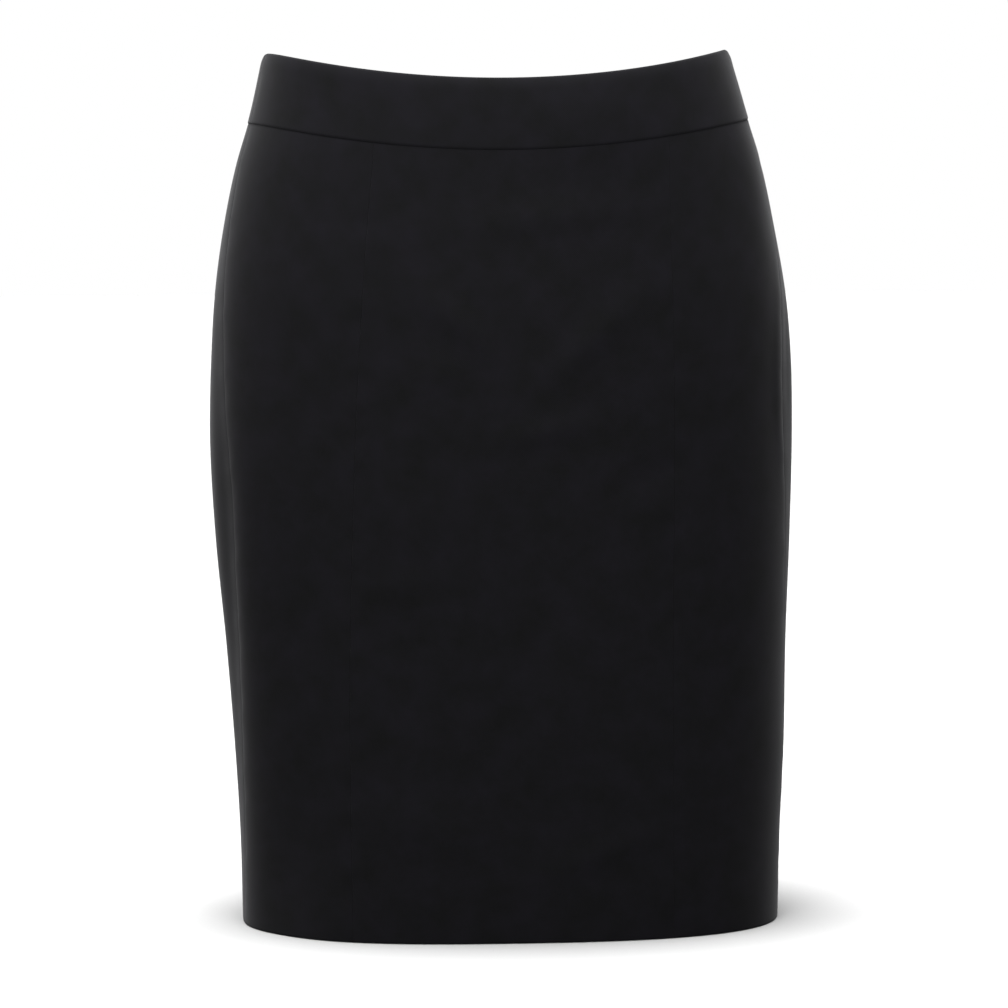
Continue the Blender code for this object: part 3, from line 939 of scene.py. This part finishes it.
# --- Sewing thread ---
# Black polyester thread. Slanting stitches catch the hem to the panels without coming through them, and
# running stitches hold down the band's inner face along its seam, and the zip's tapes beside the coils.

THREAD_RADIUS = 0.00013
STITCH_RISE = 0.00024
STITCH_SUNK = 0.00012
STITCH_STEPS = 5
HEM_STITCH = 0.0028
HEM_STITCH_STEP = 0.0062
HEM_STITCH_SLANT = 0.8
HEM_STITCH_CLEAR = 0.006
HEM_STEP_HEIGHT = 0.0006
BAND_STITCH = 0.0021
BAND_STITCH_STEP = 0.0027
BAND_STITCH_CLEAR = 0.001
BAND_STITCH_DROP = 0.001
ROUND_STEPS = 1441
TAPE_STITCH_OFFSET = 0.0042


def make_thread():
    """Spun polyester with a tight twist."""
    material, tree, shader = new_material("black_sewing_thread")
    where = add_node(tree, "ShaderNodeTexCoord")
    twist = texture(
        tree, "Wave", where.outputs["Object"], {"Scale": 1600.0, "Distortion": 1.0},
        bands_direction="DIAGONAL",
    )
    feed(tree, shader, {
        "Base Color": (0.012, 0.012, 0.013, 1), "Normal": bumped(tree, twist, 0.5, 0.00005),
        "Roughness": between(tree, twist, 0.45, 0.62), "Specular IOR Level": 0.12,
    })
    return material


def points_of(geometry):
    return [item for item in geometry if isinstance(item, bmesh.types.BMVert)]


def stitch_row(name, length, slant, step, run, place):
    """One stitch, a bow of thread with its ends sunk in the cloth, repeated along a run of cloth."""
    height = STITCH_RISE + STITCH_SUNK
    radius = (length ** 2 / 4 + height ** 2) / (2 * height)
    bow = 2 * math.asin(length / 2 / radius)
    row = wound_strand(THREAD_RADIUS, radius, axis=(0, 0, 1), climb=0, turn=bow, steps=STITCH_STEPS)
    upright = Matrix.Rotation(math.pi / 2 - bow / 2, 3, "Z")
    bmesh.ops.rotate(row, verts=row.verts, cent=(0, 0, 0), matrix=upright)
    bmesh.ops.translate(row, verts=row.verts, vec=(0, STITCH_RISE - radius, 0))
    bmesh.ops.rotate(row, verts=row.verts, cent=(0, 0, 0), matrix=Matrix.Rotation(slant, 3, "Y"))
    bmesh.ops.translate(row, verts=row.verts, vec=(step / 2, 0, 0))
    stitch = row.verts[:] + row.edges[:] + row.faces[:]
    for number in range(1, int(run / step)):
        copy = bmesh.ops.duplicate(row, geom=stitch)["geom"]
        bmesh.ops.translate(row, verts=points_of(copy), vec=(number * step, 0, 0))
    mesh = take_mesh(name, row)
    carry(mesh, place)
    piece = smooth_piece(name, mesh, sewing_thread, "skirt")


def way_round(line, from_middle):
    """Angles along a level line, and metres to each, from one side of the middle of the back to the other."""
    angles = np.linspace(-1.5 * math.pi, math.pi / 2, ROUND_STEPS)
    steps = metres_round(line(angles), angles)
    metres = np.cumsum(steps) * (angles[1] - angles[0])
    inside = (metres > metres[0] + from_middle) & (metres < metres[-1] - from_middle)
    return angles[inside], metres[inside] - metres[inside][0]


def hem_turned_edge(angle):
    return hem_edge(angle) - HEM_ROLL - HEM_TURN_UP


def hem_stitch_place(across, out, up):
    """On the turned hem below its edge, and on the panel's inner side above it."""
    angle = np.interp(across, hem_metres, hem_angles)
    depth = 2 * HEM_ROLL - (2 * HEM_ROLL - CLOTH_THICKNESS) * rise(0, HEM_STEP_HEIGHT, up)
    return cloth_points(hem_turned_edge(angle) - up, angle, depth + out)


def band_stitch_place(across, out, up):
    angle = np.interp(across, band_metres, band_angles)
    return cloth_points(waist_seam(angle) + BAND_STITCH_DROP - up, angle, BAND_INNER + out)


def tape_stitch_place(towards):
    def place(across, out, up):
        level = waist_edge(np.full(len(up), math.pi / 2)) + TAPE_TOP + across
        angle = back_seam(up + towards * TAPE_STITCH_OFFSET)(level)
        return form_points(level, angle, TAPE_DEPTH + TAPE_THICKNESS + top_lean(level, angle) + out)
    return place


sewing_thread = make_thread()
hem_angles, hem_metres = way_round(hem_turned_edge, UNDERLAP_WIDTH + HEM_STITCH_CLEAR)
band_angles, band_metres = way_round(waist_seam, TAPE_HALF_WIDTH + BAND_STITCH_CLEAR)
stitch_row(
    "hem_stitches", HEM_STITCH, HEM_STITCH_SLANT, HEM_STITCH_STEP, hem_metres[-1], hem_stitch_place,
)
stitch_row("band_stitches", BAND_STITCH, 0, BAND_STITCH_STEP, band_metres[-1], band_stitch_place)
for side, towards in (("left", 1), ("right", -1)):
    stitch_row(
        "tape_stitches_" + side, BAND_STITCH, 0, BAND_STITCH_STEP, TAPE_LENGTH, tape_stitch_place(towards),
    )


# --- Zip slider ---
# A die-cast slider, enamelled black, at the top of the closed zip. Its plate lies on the seam and
# carries an arched bridge for the pull, and its body is inside. A small block stops it at the other end.

SLIDER_WIDTH = 0.0052
SLIDER_LENGTH = 0.0090
SLIDER_PLATE = 0.0014
SLIDER_DROP = 0.0095
SLIDER_CORNER = 0.0018
SLIDER_STAND_OFF = 0.0003
SLIDER_BODY = 0.0022
SLIDER_BODY_SHORTER = 0.001
SLIDER_BODY_GAP = 0.0001
BRIDGE_WIDTH = 0.0016
BRIDGE_STRAP = 0.0009
BRIDGE_INNER_RADIUS = 0.0012
METAL_EDGE = 0.00022
MERGE_DISTANCE = 0.00001
STOP_SIZE = (0.0038, 0.0017, 0.0032)
STOP_CORNER = 0.0006


def make_enamelled_metal():
    """Black enamel on die-cast zinc: a hard even coat, thinner and glossier on the rubbed edges."""
    material, tree, shader = new_material("black_enamelled_metal")
    where = add_node(tree, "ShaderNodeTexCoord")
    place = where.outputs["Object"]
    rubbing = texture(tree, "Noise", place, {"Scale": 420.0, "Detail": 5.0, "Roughness": 0.7})
    peel = texture(tree, "Noise", place, {"Scale": 1800.0, "Detail": 1.0})
    feed(tree, shader, {
        "Base Color": mixed(
            tree, rubbing, (0.010, 0.010, 0.011, 1), (0.016, 0.016, 0.018, 1), data_type="RGBA",
        ),
        "Normal": bumped(tree, peel, 0.25, 0.00003), "Roughness": between(tree, rubbing, 0.26, 0.50),
        "Specular IOR Level": 0.28, "Coat Weight": 0.10, "Coat Roughness": 0.2,
    })
    return material


def zip_frame():
    """Place of the pull's pivot: X across, Y out of the cloth, Z up along the middle of the back."""
    level = float(waist_edge(math.pi / 2)) + SLIDER_DROP
    levels = np.array([level - SLIDER_DROP / 2, level, level + SLIDER_DROP / 2])
    above, here, under = (Vector(point) for point in form_points(levels, math.pi / 2, BAND_OUTER).tolist())
    lean = math.atan2(under.y - above.y, above.z - under.z)
    stand_off = SLIDER_STAND_OFF + SLIDER_PLATE + BRIDGE_INNER_RADIUS
    return here + Vector((0, math.cos(lean), math.sin(lean))) * stand_off, lean


def soften_edges(metal, width, least_angle=35):
    """A small bevel on every edge that is sharper than least_angle."""
    sharp = [edge for edge in metal.edges
             if len(edge.link_faces) == 2 and edge.calc_face_angle() > math.radians(least_angle)]
    bmesh.ops.bevel(metal, geom=sharp, offset=width, segments=2, profile=0.5, affect="EDGES", material=-1)


def metal_piece(name, mesh, body):
    piece = smooth_piece(name, mesh, enamelled_metal, body)
    piece.modifiers.new("even_shading", "WEIGHTED_NORMAL")
    return piece


def at_pivot(name, metal, turn):
    """The mesh of a piece that was made round the pull's pivot, turned about it and put in its place."""
    place = Matrix.Translation(pivot) @ Matrix.Rotation(turn, 4, "X")
    bmesh.ops.transform(metal, matrix=place, verts=metal.verts)
    return take_mesh(name, metal)


def rounded_plate(metal, size, centre, corner):
    """A flat block with its corners rounded, seen from the back."""
    block = bmesh.ops.create_cube(metal, size=1.0)["verts"]
    bmesh.ops.scale(metal, vec=size, verts=block)
    bmesh.ops.translate(metal, vec=centre, verts=block)
    corners = {edge for point in block for edge in point.link_edges
               if abs(edge.verts[0].co.y - edge.verts[1].co.y) > size[1] / 2}
    bmesh.ops.bevel(
        metal, geom=list(corners), offset=corner, segments=5, profile=0.5, affect="EDGES", material=-1,
    )


enamelled_metal = make_enamelled_metal()
pivot, lean = zip_frame()
slider = bmesh.new()
plate_middle = -(BRIDGE_INNER_RADIUS + SLIDER_PLATE / 2)
rounded_plate(slider, (SLIDER_WIDTH, SLIDER_PLATE, SLIDER_LENGTH), (0, plate_middle, 0), SLIDER_CORNER)
inside = plate_middle - SLIDER_PLATE / 2 - SLIDER_STAND_OFF + BAND_OUTER - TAPE_DEPTH - TAPE_THICKNESS
body_size = (SLIDER_WIDTH, SLIDER_BODY, SLIDER_LENGTH - SLIDER_BODY_SHORTER)
rounded_plate(slider, body_size, (0, inside - SLIDER_BODY / 2 - SLIDER_BODY_GAP, 0), SLIDER_CORNER)
soften_edges(slider, METAL_EDGE)

middle_radius = BRIDGE_INNER_RADIUS + BRIDGE_STRAP / 2
foot = -BRIDGE_INNER_RADIUS - SLIDER_PLATE / 2
arch = bmesh.new()
strap = bmesh.ops.create_grid(arch, x_segments=1, y_segments=1, size=0.5)["verts"]
bmesh.ops.scale(arch, vec=(BRIDGE_WIDTH, BRIDGE_STRAP, 1), verts=strap)
bmesh.ops.rotate(arch, verts=strap, cent=(0, 0, 0), matrix=Matrix.Rotation(math.pi / 2, 3, "X"))
bmesh.ops.translate(arch, verts=strap, vec=(0, foot, middle_radius))
near_end = arch.edges[:] + arch.faces[:]
up = bmesh.ops.extrude_face_region(arch, geom=near_end, use_keep_orig=True)["geom"]
bmesh.ops.translate(arch, vec=(0, -foot, 0), verts=points_of(up))
over = bmesh.ops.spin(
    arch, geom=[item for item in up if not isinstance(item, bmesh.types.BMVert)], cent=(0, 0, 0),
    axis=(-1, 0, 0), dvec=(0, 0, 0), angle=math.pi, steps=12, use_duplicate=False,
)["geom_last"]
far_end = [item for item in over if not isinstance(item, bmesh.types.BMVert)]
down = bmesh.ops.extrude_face_region(arch, geom=far_end)["geom"]
bmesh.ops.translate(arch, vec=(0, foot, 0), verts=points_of(down))
bmesh.ops.remove_doubles(arch, verts=arch.verts, dist=MERGE_DISTANCE)
bmesh.ops.recalc_face_normals(arch, faces=arch.faces)
soften_edges(arch, METAL_EDGE)
arch_mesh = take_mesh("arch", arch)
slider.from_mesh(arch_mesh)
bpy.data.meshes.remove(arch_mesh)
slider_piece = metal_piece("zip_slider_metal", at_pivot("zip_slider_metal", slider, lean), "skirt")
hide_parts("zip_slider")

stop_maker = bmesh.new()
stop_height = -COIL_TURNS * COIL_PITCH - STOP_SIZE[2] / 4
rounded_plate(stop_maker, STOP_SIZE, (0, 0, stop_height), STOP_CORNER)
soften_edges(stop_maker, METAL_EDGE)
stop_mesh = take_mesh("zip_bottom_stop", stop_maker)
carry(stop_mesh, coil_place)
metal_piece("zip_bottom_stop", stop_mesh, "skirt")


# --- Zip pull ---
# A flat die-cast drop in the same enamel. Its bar is held under the slider's bridge, so that it swings,
# and it hangs down against the waistband.

PULL_LENGTH = 0.024
PULL_WIDTH = 0.0074
PULL_NECK_WIDTH = 0.0048
PULL_THICKNESS = 0.0012
PULL_BAR = 0.0012
PULL_WINDOW_LENGTH = 0.0046
PULL_FRAME = 0.0011
PULL_TIP_TURNS = (12, 24, 36, 48, 60, 71)

pull = bmesh.new()
neck = bmesh.ops.create_cube(pull, size=1.0)["verts"]
neck_length = PULL_BAR + PULL_WINDOW_LENGTH + PULL_BAR / 2
bmesh.ops.scale(pull, vec=(PULL_NECK_WIDTH, PULL_THICKNESS, neck_length), verts=neck)
bmesh.ops.translate(pull, vec=(0, 0, PULL_BAR / 2 - neck_length / 2), verts=neck)
belly_height = PULL_LENGTH - PULL_WIDTH / 2
stations = [(PULL_BAR / 2 - neck_length, PULL_NECK_WIDTH), (-belly_height, PULL_WIDTH)]
for turn in np.radians(PULL_TIP_TURNS):
    stations.append((-belly_height - PULL_WIDTH / 2 * math.sin(turn), PULL_WIDTH * math.cos(turn)))
for (height, width), (next_height, next_width) in zip(stations, stations[1:]):
    end = min(pull.faces, key=lambda face: face.calc_center_median().z)
    lower = bmesh.ops.extrude_face_region(pull, geom=[end] + end.edges[:])["geom"]
    bmesh.ops.translate(pull, vec=(0, 0, next_height - height), verts=points_of(lower))
    bmesh.ops.scale(pull, vec=(next_width / width, 1, 1), verts=points_of(lower))
window = [face for face in pull.faces
          if abs(face.normal.y) > 0.9 and face.calc_center_median().z > PULL_BAR / 2 - neck_length]
bmesh.ops.inset_individual(pull, faces=window, thickness=PULL_FRAME)
rims = [edge for face in window for edge in face.edges]
bmesh.ops.delete(pull, geom=window, context="FACES_ONLY")
bmesh.ops.bridge_loops(pull, edges=rims)
bmesh.ops.recalc_face_normals(pull, faces=pull.faces)
soften_edges(pull, METAL_EDGE)
pull_rest = lean - math.asin((BRIDGE_INNER_RADIUS + SLIDER_PLATE - PULL_THICKNESS / 2) / PULL_LENGTH)
pull_piece = metal_piece("zip_pull_metal", at_pivot("zip_pull_metal", pull, pull_rest), "zip_pull")
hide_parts("zip_pull")


# --- Studio ---
# A pale floor that the hem just touches, in front of a white surround, under soft light from above. The
# surround and floor look white all round, but light the skirt only as a dim studio with a white wall does.
# Near the skirt the floor's colour is darkened by ambient occlusion, which is a painted contact shadow.

FLOOR_HEIGHT = cad_low.z - 0.0002
FLOOR_RADIUS = 40.0
SURROUND_FRONT = 0.10
SURROUND_BACK = 1.0
SURROUND_TOWARDS = (-0.22, 0.98, 0)
SURROUND_EDGE = (-0.4, 0.15)
FLOOR_SEEN = 0.80
FLOOR_LIGHTS = 0.12
# How far the painted contact shadow on the floor reaches, and how much of the floor's colour it takes away.
PAINTED_SHADOW_REACH = 0.16
PAINTED_SHADOW_SHARE = 0.6
SUN_STRENGTH = 2.9
SUN_TILT = 3.5
SUN_WIDTH = 25
SOFTBOX_PLACE = Vector((-0.06, -1.3, 0.9))
SOFTBOX_AIM = Vector((0, 0, -0.15))
SOFTBOX_SIZE = (1.2, 0.6)
SOFTBOX_WATTS = 18
CAMERA_PLACE = Vector((-0.1497, -2.4953, -0.1050))
CAMERA_AIM = Vector((0.00288, 0.0, -0.2611))
CAMERA_ROLL = math.radians(-0.343)
CAMERA_LENS = 142.70
CAMERA_SENSOR = 36.0

floor_maker = bmesh.new()
bmesh.ops.create_circle(floor_maker, cap_ends=True, segments=64, radius=FLOOR_RADIUS)
bmesh.ops.translate(floor_maker, vec=(0, 0, FLOOR_HEIGHT), verts=floor_maker.verts)
floor = put_in_scene("floor", take_mesh("floor", floor_maker))
paint, tree, _ = new_material("pale_floor")
# Painted shadow: the floor's colour darkens wherever ambient occlusion finds the skirt close by, on top of
# the real shadows that the lamps cast.
painted_shadow_occlusion = add_node(tree, "ShaderNodeAmbientOcclusion", {"Distance": PAINTED_SHADOW_REACH}, samples=8)
painted_floor_shadow = between(tree, painted_shadow_occlusion.outputs["AO"], FLOOR_SEEN * (1 - PAINTED_SHADOW_SHARE), FLOOR_SEEN)
seen = add_node(tree, "ShaderNodeBsdfDiffuse", {"Color": painted_floor_shadow})
lights = add_node(tree, "ShaderNodeBsdfDiffuse", {"Color": (FLOOR_LIGHTS, FLOOR_LIGHTS, FLOOR_LIGHTS, 1)})
path = add_node(tree, "ShaderNodeLightPath")
either = add_node(
    tree, "ShaderNodeMixShader",
    {0: path.outputs["Is Camera Ray"], 1: lights.outputs[0], 2: seen.outputs[0]},
)
tree.links.new(either.outputs[0], tree.nodes["Material Output"].inputs["Surface"])
floor.data.materials.append(paint)

world = bpy.data.worlds.new("white_surround")
world.use_nodes = True
tree = world.node_tree
direction = add_node(tree, "ShaderNodeTexCoord")
behind = add_node(
    tree, "ShaderNodeVectorMath", {0: direction.outputs["Generated"], 1: SURROUND_TOWARDS},
    operation="DOT_PRODUCT",
)
strength = add_node(
    tree, "ShaderNodeMapRange", {
        "Value": behind.outputs["Value"], "From Min": SURROUND_EDGE[0], "From Max": SURROUND_EDGE[1],
        "To Min": SURROUND_FRONT, "To Max": SURROUND_BACK,
    }, interpolation_type="SMOOTHSTEP",
)
path = add_node(tree, "ShaderNodeLightPath")
shown = mixed(tree, path.outputs["Is Camera Ray"], strength.outputs[0], 1.0)
feed(tree, tree.nodes["Background"], {"Color": (1.0, 1.0, 1.0, 1), "Strength": shown})
bpy.context.scene.world = world

sun = bpy.data.lights.new("overhead_light", "SUN")
sun.energy = SUN_STRENGTH
sun.angle = math.radians(SUN_WIDTH)
overhead = put_in_scene("overhead_light", sun)
overhead.rotation_euler = (0, math.radians(-SUN_TILT), 0)

lamp = bpy.data.lights.new("front_softbox", "AREA")
lamp.shape = "RECTANGLE"
lamp.size, lamp.size_y = SOFTBOX_SIZE
lamp.energy = SOFTBOX_WATTS
softbox = put_in_scene("front_softbox", lamp)
softbox.location = SOFTBOX_PLACE
softbox.rotation_euler = (SOFTBOX_AIM - SOFTBOX_PLACE).to_track_quat("-Z", "Y").to_euler()

camera_data = bpy.data.cameras.new("camera")
camera_data.lens = CAMERA_LENS
camera_data.sensor_width = CAMERA_SENSOR
camera = put_in_scene("camera", camera_data)
look = (CAMERA_AIM - CAMERA_PLACE).to_track_quat("-Z", "Y")
camera.matrix_world = (
    Matrix.Translation(CAMERA_PLACE) @ look.to_matrix().to_4x4() @ Matrix.Rotation(CAMERA_ROLL, 4, "Z")
)
bpy.context.scene.camera = camera
bpy.context.scene.view_settings.view_transform = "Standard"
bpy.context.scene.view_settings.look = "None"
